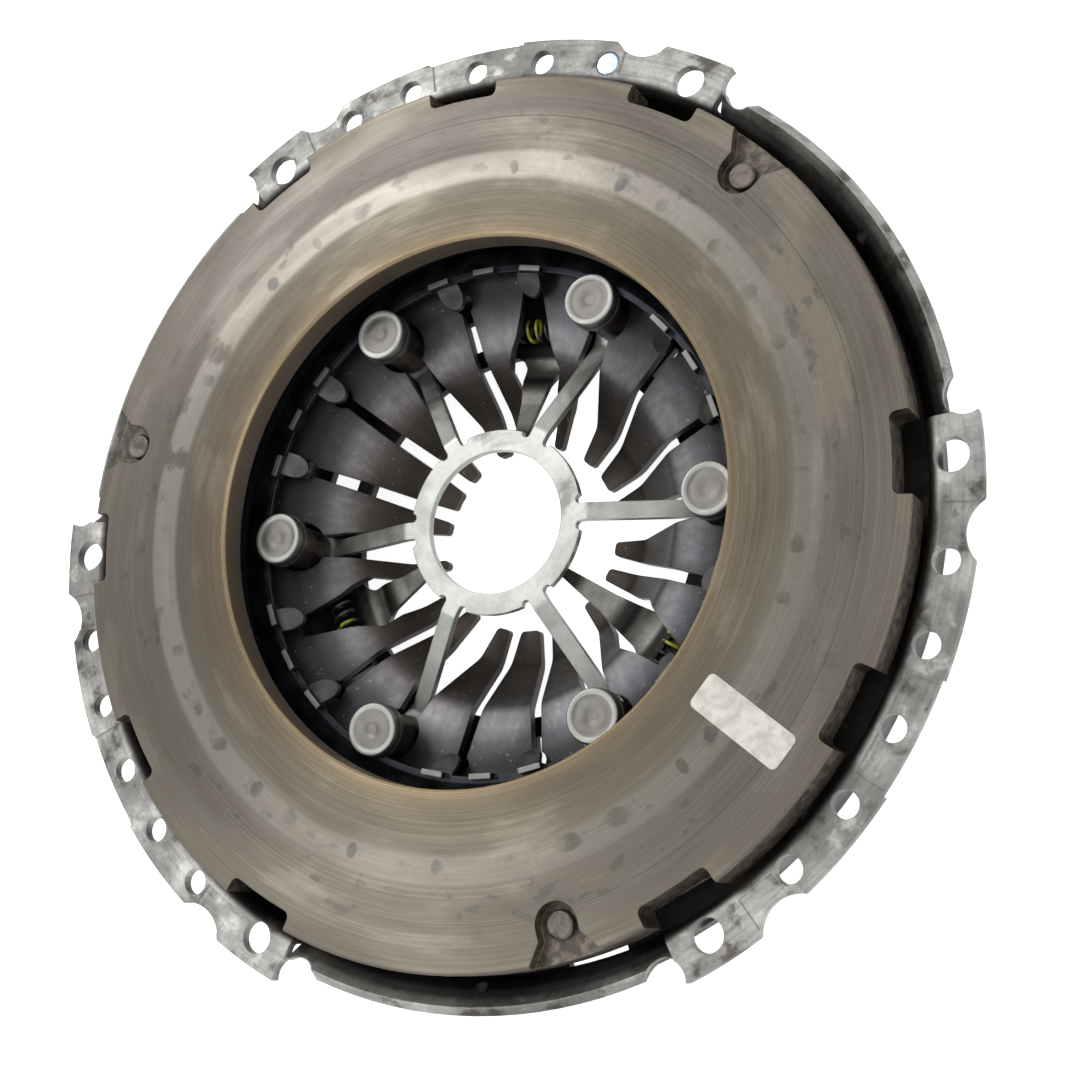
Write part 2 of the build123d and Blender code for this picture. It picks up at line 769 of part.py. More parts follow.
# Sensor spring
sensor_rim_z = diaphragm_top(sensor_outer_r) + sensor_sheet * hypot(1.0, cone_rise) + running_gap
sensor_under_z = bolt_head_under_z - sensor_sheet
with BuildSketch(Plane.XZ) as tongue_section:
    with BuildLine():
        Polyline(
            (sensor_flat_r, bolt_head_under_z - seat_gap),
            (sensor_inner_r - cut_margin, bolt_head_under_z - seat_gap),
            (tongue_tip_r, bolt_head_under_z - tongue_tip_drop),
            (tongue_tip_r, sensor_under_z - tongue_tip_drop),
            (sensor_inner_r - cut_margin, sensor_under_z),
            (sensor_flat_r, sensor_under_z),
            close=True,
        )
    make_face()
with BuildSketch() as tongue_plan:
    tongue_round_r = tongue_width / 2
    with Locations((tongue_tip_r + tongue_round_r, 0)):
        Circle(tongue_round_r)
    add(radial_blade(((tongue_tip_r + tongue_round_r, tongue_round_r), (sensor_flat_r, tongue_round_r)), 0))
tongue = bent_strip(tongue_section.sketch, tongue_plan.sketch, tongue_width)
with BuildPart() as sensor_spring:
    with BuildSketch(Plane.XZ):
        with BuildLine():
            Polyline(
                (sensor_inner_r, bolt_head_under_z),
                (sensor_flat_r, bolt_head_under_z),
                (sensor_outer_r, sensor_rim_z),
                (sensor_outer_r, sensor_rim_z - sensor_sheet),
                (sensor_flat_r, sensor_under_z),
                (sensor_inner_r, sensor_under_z),
                close=True,
            )
        make_face()
    revolve(axis=Axis.Z)
    # Tongues that reach over the ends of the finger slots
    for middle in sixths_of(0.0):
        for side in (-1, 1):
            add(tongue.rotate(Axis.Z, middle + side * tongue_spread))
    # Ears under the bolt heads
    with BuildSketch(Plane.XY.offset(sensor_under_z)):
        for angle in sixths_of(first_lug):
            with Locations(polar(step_bolt_r, angle)):
                Circle(sensor_ear_r)
    extrude(amount=sensor_sheet)
    with BuildSketch(Plane.XY.offset(sensor_under_z)):
        for angle in sixths_of(first_lug):
            with Locations(polar(step_bolt_r, angle)):
                Circle(bolt_shank_r + running_gap)
    extrude(amount=sensor_sheet, mode=Mode.SUBTRACT)
    # Upturned tabs
    with BuildSketch(Plane.XY.offset(sensor_under_z)):
        for middle in sixths_of(0.0):
            for side in (-1, 0, 1):
                angle = middle + side * sensor_tab_spread
                with Locations(Location((*polar(sensor_tab_r + sensor_sheet / 2, angle), 0), (0, 0, angle))):
                    Rectangle(sensor_sheet, sensor_tab_width)
    extrude(amount=sensor_tab_height)
sensor_spring.part.label = "sensor_spring"
export_step(sensor_spring.part, "parts/sensor_spring.step")


# Adjuster ring
ring_body_top = ring_top_z - ring_body_gap
wedge_reach = ring_outer_r * sin(radians(ramp_pitch / 2))
ring_ramps = ramp_band(
    (
        (-wedge_reach, -ramp_length / 2),
        (-wedge_reach, 0),
        (-ramp_length / 2, 0),
        (wedge_reach, (wedge_reach + ramp_length / 2) * ramp_slope),
        (wedge_reach, -ramp_length / 2),
    ),
    ring_inner_r,
    ring_outer_r + cut_margin,
    adjuster_sweep,
    deck_z + wear_travel + ramp_gap,
)
with BuildPart() as ring_lug:
    with BuildSketch(Plane.XZ):
        with BuildLine():
            Polyline(
                (ring_inner_r + cut_margin, diaphragm_under(ring_inner_r + cut_margin) - 2 * ring_body_gap),
                (ring_inner_r + cut_margin, ring_lug_step_z),
                (ring_lug_step_r, ring_lug_step_z),
                (ring_lug_step_r, ring_lug_bottom_z),
                (ring_lug_tip_r, ring_lug_bottom_z),
                (ring_lug_tip_r, diaphragm_under(ring_lug_tip_r) - 2 * ring_body_gap),
                close=True,
            )
        make_face()
    extrude(amount=-ring_lug_width)
with BuildPart() as adjuster_ring:
    with BuildSketch(Plane.XZ):
        with BuildLine():
            Polyline(
                (ring_inner_r, ring_body_top - ring_bead_height),
                (ring_bead_r - ring_bead_width / 2, ring_body_top),
                (ring_bead_r - ring_bead_width / 4, ring_top_z),
                (ring_bead_r + ring_bead_width / 4, ring_top_z),
                (ring_bead_r + ring_bead_width / 2, ring_body_top),
                (ring_outer_r, ring_body_top),
                (ring_outer_r, deck_z),
                (ring_inner_r, deck_z),
                close=True,
            )
        make_face()
    revolve(axis=Axis.Z)
    # Lugs that the adjuster springs push on
    for angle in thirds_of(spring_end_angle):
        add(ring_lug.part.rotate(Axis.Z, angle))
    # Underside cut to ramps, shown turned up to the worn end of its travel
    add(ring_ramps, mode=Mode.SUBTRACT)
adjuster_ring.part.label = "adjuster_ring"
export_step(adjuster_ring.part, "parts/adjuster_ring.step")


# Adjuster springs
spring_half_angle = (spring_end_angle - spring_start_angle) / 2
spring_length = 2 * (spring_circle_r * sin(radians(spring_half_angle)) - spring_wire_r - running_gap)
spring_middle_r = spring_circle_r * cos(radians(spring_half_angle))
with BuildPart() as coil_spring:
    with BuildLine():
        coil = Helix(pitch=spring_length / spring_turns, height=spring_length, radius=spring_coil_r)
    with BuildSketch(Plane(origin=coil @ 0, z_dir=coil % 0)):
        Circle(spring_wire_r)
    sweep(path=coil, is_frenet=True)
for number, middle in enumerate(thirds_of(spring_start_angle + spring_half_angle), 1):
    spring_plane = Plane(
        origin=(*polar(spring_middle_r, middle), spring_axis_z),
        x_dir=(0, 0, 1),
        z_dir=(-sin(radians(middle)), cos(radians(middle)), 0),
    )
    with BuildPart() as adjuster_spring:
        add(spring_plane * Pos(0, 0, -spring_length / 2) * coil_spring.part)
    adjuster_spring.part.label = f"adjuster_spring_{number}"
    export_step(adjuster_spring.part, f"parts/adjuster_spring_{number}.step")


# Travel stop
stop_line = (
    (stop_inner_r + stop_sheet, stop_ring_z),
    (stop_outer_r + stop_sheet, stop_ring_z),
    (stop_foot_start_r, stop_foot_z),
    (step_bolt_r + stop_eye_r, stop_foot_z),
)
with BuildSketch() as spoke_plan:
    add(radial_blade((
        (stop_inner_r + stop_sheet, stop_spoke_width / 2),
        (stop_foot_start_r - stop_sheet, stop_spoke_width / 2),
        (stop_foot_start_r + stop_sheet, stop_foot_width / 2),
        (step_bolt_r, stop_foot_width / 2),
    ), 0))
    with Locations((step_bolt_r, 0)):
        Circle(stop_eye_r)
spoke = bent_strip(
    sheet_profile(stop_line, bend_radius, stop_sheet, Side.RIGHT),
    spoke_plan.sketch,
    stop_foot_width,
)
with BuildPart() as travel_stop:
    with BuildSketch(Plane.XY.offset(stop_ring_z - stop_sheet)):
        Circle(stop_outer_r)
    extrude(amount=stop_sheet)
    for angle in sixths_of(first_lug):
        add(spoke.rotate(Axis.Z, angle))
    # Bore, and small relief notches beside the root of each spoke
    relief_angle = degrees((stop_spoke_width / 2 + stop_relief_r) / stop_outer_r)
    with BuildSketch(Plane.XY.offset(stop_ring_z - stop_sheet)):
        Circle(stop_inner_r)
        for angle in sixths_of(first_lug):
            for side in (-1, 1):
                with Locations(polar(stop_outer_r, angle + side * relief_angle)):
                    Circle(stop_relief_r)
    extrude(amount=stop_sheet, mode=Mode.SUBTRACT)
    with BuildSketch(Plane.XY.offset(bolt_pad_z)):
        for angle in sixths_of(first_lug):
            with Locations(polar(step_bolt_r, angle)):
                Circle(bolt_tail_r)
    extrude(amount=stop_sheet, mode=Mode.SUBTRACT)
travel_stop.part.label = "travel_stop"
export_step(travel_stop.part, "parts/travel_stop.step")


# Step bolts
tail_under_z = bolt_pad_z - cover_sheet
for number, angle in enumerate(sixths_of(first_lug), 1):
    bolt_centre = polar(step_bolt_r, angle)
    with BuildPart() as step_bolt:
        add(turned_stack(bolt_centre, (
            (bolt_tail_head_r, tail_under_z - bolt_tail_head_height, tail_under_z),
            (bolt_tail_r, tail_under_z, stop_foot_z),
            (bolt_shank_r, stop_foot_z, bolt_head_under_z),
            (bolt_head_r, bolt_head_under_z, bolt_head_top_z),
        )))
        fillet(step_bolt.faces().sort_by(Axis.Z)[-1].edges(), radius=bolt_head_edge_r)
        fillet(step_bolt.faces().sort_by(Axis.Z)[0].edges(), radius=bolt_tail_edge_r)
        with BuildSketch(Plane.XY.offset(bolt_head_top_z)):
            with Locations(bolt_centre):
                Circle(bolt_head_dimple_r)
        extrude(amount=-bolt_head_dimple_depth, mode=Mode.SUBTRACT)
    step_bolt.part.label = f"step_bolt_{number}"
    export_step(step_bolt.part, f"parts/step_bolt_{number}.step")


# Leaf straps, packs of thin leaves that lie on one another
strap_half_angle = (strap_cover_angle - strap_plate_angle) / 2
strap_reach = 2 * strap_circle_r * sin(radians(strap_half_angle))
for number, plate_angle in enumerate(thirds_of(strap_plate_angle), 1):
    plate_x, plate_y = polar(strap_circle_r, plate_angle)
    chord_plane = tangent_plane(0, plate_angle + strap_half_angle, 0)
    section_plane = Plane(
        origin=(plate_x, plate_y, 0),
        x_dir=chord_plane.x_dir,
        z_dir=chord_plane.z_dir,
    )
    for leaf in range(strap_leaves):
        leaf_top = -strap_leaf * leaf
        with BuildPart() as strap:
            with BuildSketch(section_plane):
                with BuildLine():
                    upper = FilletPolyline(
                        (-strap_width / 2, plate_back_z + leaf_top),
                        (strap_flat_length, plate_back_z + leaf_top),
                        (strap_reach - strap_flat_length, strap_cover_top_z + leaf_top),
                        (strap_reach + strap_width / 2, strap_cover_top_z + leaf_top),
                        radius=strap_width,
                    )
                    lower = FilletPolyline(
                        (-strap_width / 2, plate_back_z + leaf_top - strap_leaf),
                        (strap_flat_length, plate_back_z + leaf_top - strap_leaf),
                        (strap_reach - strap_flat_length, strap_cover_top_z + leaf_top - strap_leaf),
                        (strap_reach + strap_width / 2, strap_cover_top_z + leaf_top - strap_leaf),
                        radius=strap_width,
                    )
                    Line(upper @ 0, lower @ 0)
                    Line(upper @ 1, lower @ 1)
                make_face()
            extrude(amount=strap_width, both=True)
            with BuildSketch(Plane(origin=(plate_x, plate_y, well_z), x_dir=chord_plane.x_dir, z_dir=(0, 0, 1))):
                with Locations((strap_reach / 2, 0)):
                    SlotCenterToCenter(strap_reach, strap_width)
                with Locations((0, 0), (strap_reach, 0)):
                    Circle(rivet_shank_r + seat_gap, mode=Mode.SUBTRACT)
            extrude(amount=-well_z, mode=Mode.INTERSECT)
        strap.part.label = f"strap_{number}_leaf_{leaf + 1}"
        export_step(strap.part, f"parts/strap_{number}_leaf_{leaf + 1}.step")


# Strap rivets in the plate and in the cover
strap_under_z = plate_back_z - strap_stack
for number, plate_angle in enumerate(thirds_of(strap_plate_angle), 1):
    with BuildPart() as plate_strap_rivet:
        add(turned_stack(polar(strap_circle_r, plate_angle), (
            (rivet_tail_r, strap_under_z - rivet_tail_height, strap_under_z),
            (rivet_shank_r, strap_under_z, pocket_floor_z),
            (rivet_head_r, pocket_floor_z, pocket_floor_z + rivet_head_height),
        )))
        fillet(plate_strap_rivet.faces().sort_by(Axis.Z)[-1].edges(), radius=rivet_head_edge_r)
        fillet(plate_strap_rivet.faces().sort_by(Axis.Z)[0].edges(), radius=rivet_tail_edge_r)
    plate_strap_rivet.part.label = f"plate_strap_rivet_{number}"
    export_step(plate_strap_rivet.part, f"parts/plate_strap_rivet_{number}.step")

cover_under_z = shoulder_z - cover_sheet
for number, cover_angle in enumerate(thirds_of(strap_cover_angle), 1):
    with BuildPart() as cover_strap_rivet:
        add(turned_stack(polar(strap_circle_r, cover_angle), (
            (rivet_tail_r, cover_under_z - rivet_tail_height, cover_under_z),
            (rivet_shank_r, cover_under_z, strap_cover_top_z),
            (rivet_tail_r, strap_cover_top_z, strap_cover_top_z + cover_rivet_head_height),
        )))
        fillet(cover_strap_rivet.faces().sort_by(Axis.Z)[-1].edges(), radius=rivet_head_edge_r)
        fillet(cover_strap_rivet.faces().sort_by(Axis.Z)[0].edges(), radius=rivet_tail_edge_r)
    cover_strap_rivet.part.label = f"cover_strap_rivet_{number}"
    export_step(cover_strap_rivet.part, f"parts/cover_strap_rivet_{number}.step")


# Balance rivet, a plug in one balance hole with its head behind the flange
balance_centre = polar(bolt_circle_r, first_segment + balance_hole_angles[balance_rivet_slot])
with BuildPart() as balance_rivet:
    with BuildSketch(Plane.XY.offset(-cover_sheet)):
        with Locations(balance_centre):
            Circle(balance_hole_r - balance_rivet_gap)
    extrude(amount=cover_sheet + balance_rivet_face_z)
    fillet(balance_rivet.faces().sort_by(Axis.Z)[-1].edges(), radius=balance_rivet_edge_r)
    with BuildSketch(Plane.XY.offset(-cover_sheet - balance_rivet_head_height)):
        with Locations(balance_centre):
            Circle(balance_rivet_head_r)
        Circle(flange_flat_r, mode=Mode.SUBTRACT)
    extrude(amount=balance_rivet_head_height)
balance_rivet.part.label = "balance_rivet"
export_step(balance_rivet.part, "parts/balance_rivet.step")


# Blank foil label on the friction face
label_x, label_y = polar(label_centre_r, label_centre_angle)
with BuildPart() as blank_label:
    with BuildSketch(Plane.XY.offset(friction_face_z)):
        with Locations(Location((label_x, label_y, 0), (0, 0, label_centre_angle + label_turn))):
            RectangleRounded(label_length, label_width, label_corner_r)
    extrude(amount=label_thickness)
blank_label.part.label = "blank_label"
export_step(blank_label.part, "parts/blank_label.step")
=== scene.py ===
from math import cos, pi, radians, sin

import bmesh
import bpy
from mathutils import Euler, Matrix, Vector


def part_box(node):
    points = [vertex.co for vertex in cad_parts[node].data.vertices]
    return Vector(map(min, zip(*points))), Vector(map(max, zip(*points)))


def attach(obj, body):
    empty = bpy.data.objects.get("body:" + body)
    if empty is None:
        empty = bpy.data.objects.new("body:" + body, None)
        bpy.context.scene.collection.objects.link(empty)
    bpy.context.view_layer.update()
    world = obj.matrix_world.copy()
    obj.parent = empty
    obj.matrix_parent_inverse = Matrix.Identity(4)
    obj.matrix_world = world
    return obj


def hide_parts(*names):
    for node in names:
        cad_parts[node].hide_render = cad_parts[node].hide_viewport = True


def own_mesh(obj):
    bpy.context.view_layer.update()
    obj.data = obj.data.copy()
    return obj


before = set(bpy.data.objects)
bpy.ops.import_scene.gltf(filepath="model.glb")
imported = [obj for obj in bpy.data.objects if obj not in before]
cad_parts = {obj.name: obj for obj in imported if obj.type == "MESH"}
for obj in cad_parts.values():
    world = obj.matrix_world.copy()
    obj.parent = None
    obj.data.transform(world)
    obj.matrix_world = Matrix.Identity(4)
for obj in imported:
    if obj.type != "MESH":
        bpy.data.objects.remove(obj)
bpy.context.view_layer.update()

# Clutch pressure plate, in metres. Z is the rotation axis, and the friction face looks up.
MM = 0.001
WELD_GAP = 0.002 * MM

# Heights read from the frame: the friction face in millimetres, and the bench in metres
FACE_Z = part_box("pressure_plate")[1].z / MM
REST_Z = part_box("cover_housing")[0].z

# Nodes of the frame that come in sets
BOLT_NODES = [f"step_bolt_{k}" for k in range(1, 7)]
COIL_NODES = [f"adjuster_spring_{k}" for k in (1, 2, 3)]
PLATE_RIVET_NODES = [f"plate_strap_rivet_{k}" for k in (1, 2, 3)]
COVER_RIVET_NODES = [f"cover_strap_rivet_{k}" for k in (1, 2, 3)]

# Friction ring and the marks on its face: millimetres from the axis, and degrees round it
RING_BORE_R = 78.0
RING_R = 126.2
FACE_EDGE = (FACE_Z - 0.9, FACE_Z - 0.3)
WORN_BAND = (95.6, 103.4)
WORN_BAND_BREAKS = (115.5, 135.5)
BLOT_R = 98.4
BLOT_START = 59.5
BLOT_PITCH = 10.0
BLOT_HALF_LENGTH = 1.4
BLOT_HALF_WIDTH = 2.4
SCORE_BAND = (113.8, 114.1)

# Step bolts, in millimetres
BOLT_HEAD_R = 7.7
BOLT_HEAD_DEPTH = 3.4
BOLT_EDGE = 0.3
SHANK_R = 6.2
SHANK_END_Z = -24.6
SHANK_EDGE = 0.4
TAIL_R = 3.5
TAIL_HEAD_R = 4.7
TAIL_HEAD_HEIGHT = 2.0
BOLT_SIDES = 64

# Rim of a bolt head, as steps in from its side and down from its top, and then the dish
# and the dimple, as shares of the head's radius and steps down from its top
HEAD_RIM = ((0.0, 0.7), (0.12, 0.3), (0.4, 0.05), (0.7, 0.0), (1.5, 0.04), (2.1, 0.22), (2.5, 0.26))
HEAD_DISH = ((0.58, 0.28), (0.54, 0.25), (0.27, 0.26), (0.23, 0.38), (0.14, 0.44), (0.0, 0.44))

# Fingers, in millimetres and degrees, and the cuts that let them bend
FINGER_PITCH = 20.0
FINGER_CROWN = 1.1
CROWN_START_R = 64.0
CROWN_FULL_R = 52.0
CUT_STEP = 2.5
CUT_START = 0.6
CUT_LEVELS = (-18.0, -19.2, -20.4, -21.6, -24.0, -27.0, -30.0, -33.0)

# Angles in degrees up to which two faces are shaded as one
SHEET_SMOOTH = 30.0
COIL_SMOOTH = 40.0
BOLT_SMOOTH = 36.0

# Floor and daylight
FLOOR_REACH = 4.0
FLOOR_GAP = 0.2 * MM
FLOOR_TONE = 0.8
FLOOR_GLOW = 0.9
DAYLIGHT = 0.5
WHITE = (1.0, 1.0, 1.0, 1.0)

# Lamps: name, place, diameter, and power in watts
LAMPS = (
    ("key_light", (-0.24, 0.84, 0.96), 0.50, 4.5),
    ("side_light", (-0.65, 0.22, 1.07), 0.35, 2.0),
    ("fill_light", (0.7, -0.6, 1.0), 1.0, 2.5),
)

# Camera of the photograph
CAMERA_PLACE = (0.13418, -0.21644, 0.42671)
CAMERA_TURN = (13.0744, 25.4863, -30.0293)
CAMERA_LENS = 59.256
CAMERA_SENSOR = 36.0


def screen(tone):
    """Linear RGBA of a colour written as it looks on screen, in 0 to 255."""
    def linear(value):
        value = value / 255
        return value / 12.92 if value <= 0.04045 else ((value + 0.055) / 1.055) ** 2.4
    return (*map(linear, tone), 1.0)


class Finish:
    """A procedural material and the few kinds of node it is made of."""

    def __init__(self, name, metallic, turned=0.0):
        self.material = bpy.data.materials.new(name)
        self.material.use_nodes = True
        self.tree = self.material.node_tree
        self.shader = self.tree.nodes["Principled BSDF"]
        self.shader.inputs["Metallic"].default_value = metallic
        coordinates = self.tree.nodes.new("ShaderNodeTexCoord")
        self.place = coordinates.outputs["Object"]
        split = self.tree.nodes.new("ShaderNodeSeparateXYZ")
        self.tree.links.new(self.place, split.inputs[0])
        self.x, self.y, self.z = split.outputs
        if turned:
            self.shader.inputs["Anisotropic"].default_value = turned
            self.feed(self.shader.inputs["Tangent"], self.across_grooves())

    def feed(self, socket, value):
        """Links an output to a socket, or sets the socket to a plain value."""
        if isinstance(value, bpy.types.NodeSocket):
            self.tree.links.new(value, socket)
        else:
            socket.default_value = value

    def math(self, operation, first, second=0.0, third=0.0):
        node = self.tree.nodes.new("ShaderNodeMath")
        node.operation = operation
        self.feed(node.inputs[0], first)
        self.feed(node.inputs[1], second)
        self.feed(node.inputs[2], third)
        return node.outputs[0]

    def both(self, first, second):
        """Product of two values."""
        return self.math("MULTIPLY", first, second)

    def vector(self, x, y, z):
        node = self.tree.nodes.new("ShaderNodeCombineXYZ")
        self.feed(node.inputs[0], x)
        self.feed(node.inputs[1], y)
        self.feed(node.inputs[2], z)
        return node.outputs[0]

    def reach(self):
        """Distance from the rotation axis in metres."""
        square = self.both(self.x, self.x)
        return self.math("SQRT", self.math("MULTIPLY_ADD", self.y, self.y, square))

    def radius(self):
        """Distance from the rotation axis in millimetres."""
        return self.both(self.reach(), 1 / MM)

    def height(self):
        """Height along the rotation axis in millimetres."""
        return self.both(self.z, 1 / MM)

    def angle(self):
        """Angle round the rotation axis in radians."""
        return self.math("ARCTAN2", self.y, self.x)

    def degrees_from(self, start, turn=360.0):
        """Angle round the axis from a start, wrapped to half a turn each way."""
        away = self.math("SUBTRACT", self.both(self.angle(), 180 / pi), start)
        return self.math("WRAP", away, turn / 2, -turn / 2)

    def off(self, middle, turn=360.0):
        """Angle round the axis to either side of a middle."""
        return self.math("ABSOLUTE", self.degrees_from(middle, turn))

    def facing(self, middle, near, far, here, elsewhere):
        """One value on the side about a middle angle, and another all round from there."""
        return self.span(self.off(middle), near, far, here, elsewhere)

    def across_grooves(self):
        """Direction away from the axis, across the grooves of a turned surface."""
        reach = self.reach()
        out_x = self.math("DIVIDE", self.x, reach)
        out_y = self.math("DIVIDE", self.y, reach)
        return self.vector(out_x, out_y, 0.3)

    def noise(self, scale, vector=None, detail=4.0, roughness=0.55, distortion=0.0):
        node = self.tree.nodes.new("ShaderNodeTexNoise")
        node.inputs["Scale"].default_value = scale
        node.inputs["Detail"].default_value = detail
        node.inputs["Roughness"].default_value = roughness
        node.inputs["Distortion"].default_value = distortion
        self.tree.links.new(self.place if vector is None else vector, node.inputs["Vector"])
        return node.outputs["Fac"]

    def polar_noise(self, along_radius, round_axis, detail=3.0, start=0.0):
        """Noise stretched along the radius or round the axis."""
        place = self.vector(
            self.both(self.radius(), along_radius),
            self.both(self.math("COSINE", self.angle()), round_axis),
            self.math("MULTIPLY_ADD", self.math("SINE", self.angle()), round_axis, start),
        )
        return self.noise(1.0, place, detail=detail)

    def span(self, value, low, high, start=0.0, end=1.0):
        """Value from low to high mapped smoothly to start to end."""
        node = self.tree.nodes.new("ShaderNodeMapRange")
        node.interpolation_type = "SMOOTHSTEP"
        self.feed(node.inputs["Value"], value)
        node.inputs["From Min"].default_value = low
        node.inputs["From Max"].default_value = high
        node.inputs["To Min"].default_value = start
        node.inputs["To Max"].default_value = end
        return node.outputs["Result"]

    def band(self, value, low, high, soft):
        """One inside low to high and nought outside, with soft edges."""
        rise = self.span(value, low - soft, low + soft)
        fall = self.span(value, high - soft, high + soft, 1.0, 0.0)
        return self.both(rise, fall)

    def blend(self, factor, first, second):
        node = self.tree.nodes.new("ShaderNodeMix")
        node.data_type = "RGBA"
        self.feed(node.inputs["Factor"], factor)
        self.feed(node.inputs["A"], first)
        self.feed(node.inputs["B"], second)
        return node.outputs["Result"]

    def shades(self, factor, first, second):
        """Colour between two screen colours."""
        return self.blend(factor, screen(first), screen(second))

    def stain(self, colour, factor, tone):
        """Colour with a screen colour laid over it."""
        return self.blend(factor, colour, screen(tone))

    def zones(self, value, *stops):
        """Colour along a length, each stop a value in millimetres and a screen colour."""
        first = stops[0][0]
        length = stops[-1][0] - first
        along = self.math("MULTIPLY_ADD", value, 1 / length, -first / length)
        node = self.tree.nodes.new("ShaderNodeValToRGB")
        elements = node.color_ramp.elements
        marks = [((place - first) / length, screen(tone)) for place, tone in stops]
        elements[0].position, elements[0].color = marks[0]
        elements[1].position, elements[1].color = marks[-1]
        for place, colour in marks[1:-1]:
            elements.new(place).color = colour
        self.feed(node.inputs[0], along)
        return node.outputs["Color"]

    def edges(self, width):
        """One along edges rounded to a width in millimetres, and the rounded normal."""
        rounded = self.tree.nodes.new("ShaderNodeBevel")
        rounded.samples = 4
        rounded.inputs["Radius"].default_value = width * MM
        shape = self.tree.nodes.new("ShaderNodeNewGeometry")
        likeness = self.tree.nodes.new("ShaderNodeVectorMath")
        likeness.operation = "DOT_PRODUCT"
        self.tree.links.new(rounded.outputs[0], likeness.inputs[0])
        self.tree.links.new(shape.outputs["Normal"], likeness.inputs[1])
        return self.span(likeness.outputs["Value"], 0.75, 0.97, 1.0, 0.0), rounded.outputs[0]

    def relief(self, height, strength, depth, below=None):
        """Normal of a relief with a depth in millimetres, on top of another normal."""
        node = self.tree.nodes.new("ShaderNodeBump")
        node.inputs["Strength"].default_value = strength
        node.inputs["Distance"].default_value = depth * MM
        self.feed(node.inputs["Height"], height)
        if below is not None:
            self.tree.links.new(below, node.inputs["Normal"])
        return node.outputs["Normal"]

    def finish(self, colour, roughness, normal):
        self.feed(self.shader.inputs["Base Color"], colour)
        self.feed(self.shader.inputs["Roughness"], roughness)
        self.feed(self.shader.inputs["Normal"], normal)
        return self.material


